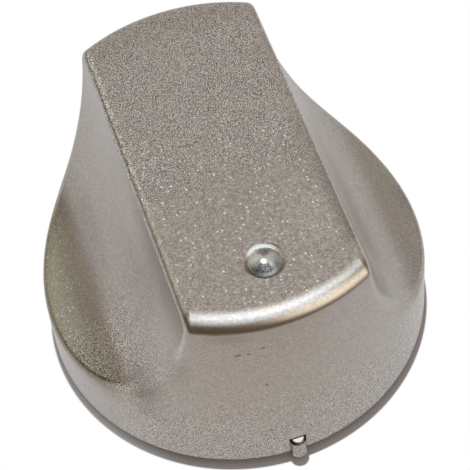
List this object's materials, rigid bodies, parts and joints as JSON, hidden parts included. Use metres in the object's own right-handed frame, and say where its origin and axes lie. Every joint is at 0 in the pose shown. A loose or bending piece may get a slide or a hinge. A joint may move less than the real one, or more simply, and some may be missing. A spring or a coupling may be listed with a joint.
{
  "type": "cooker control knob",
  "caption": "Round-skirted cooker knob with a straight bar grip, hollow flanks, a domed stud, a pointer pip and a hub for a flatted spindle.",
  "frame": {"origin": "on the spindle axis, at the open end of the hub, where the spindle goes in and the knob rests", "axes": "+Z out of the cooker's panel, towards the grip's flat top; -Y from the spindle axis to the pointer pip; +X completes a right-handed frame"},
  "size_m": [0.046, 0.047, 0.0319],
  "materials": {
    "satin_silver": "moulded plastic with a satin silver metal-flake finish",
    "hub_plastic": "plain black moulded plastic",
    "spring_steel": "bright rolled spring strip",
    "bright_stud": "polished"
  },
  "bodies": {
    "root": {"knob_body": "satin_silver", "shaft_hub": "hub_plastic", "spindle_spring": "spring_steel", "index_stud": "bright_stud"}
  },
  "joints": []
}
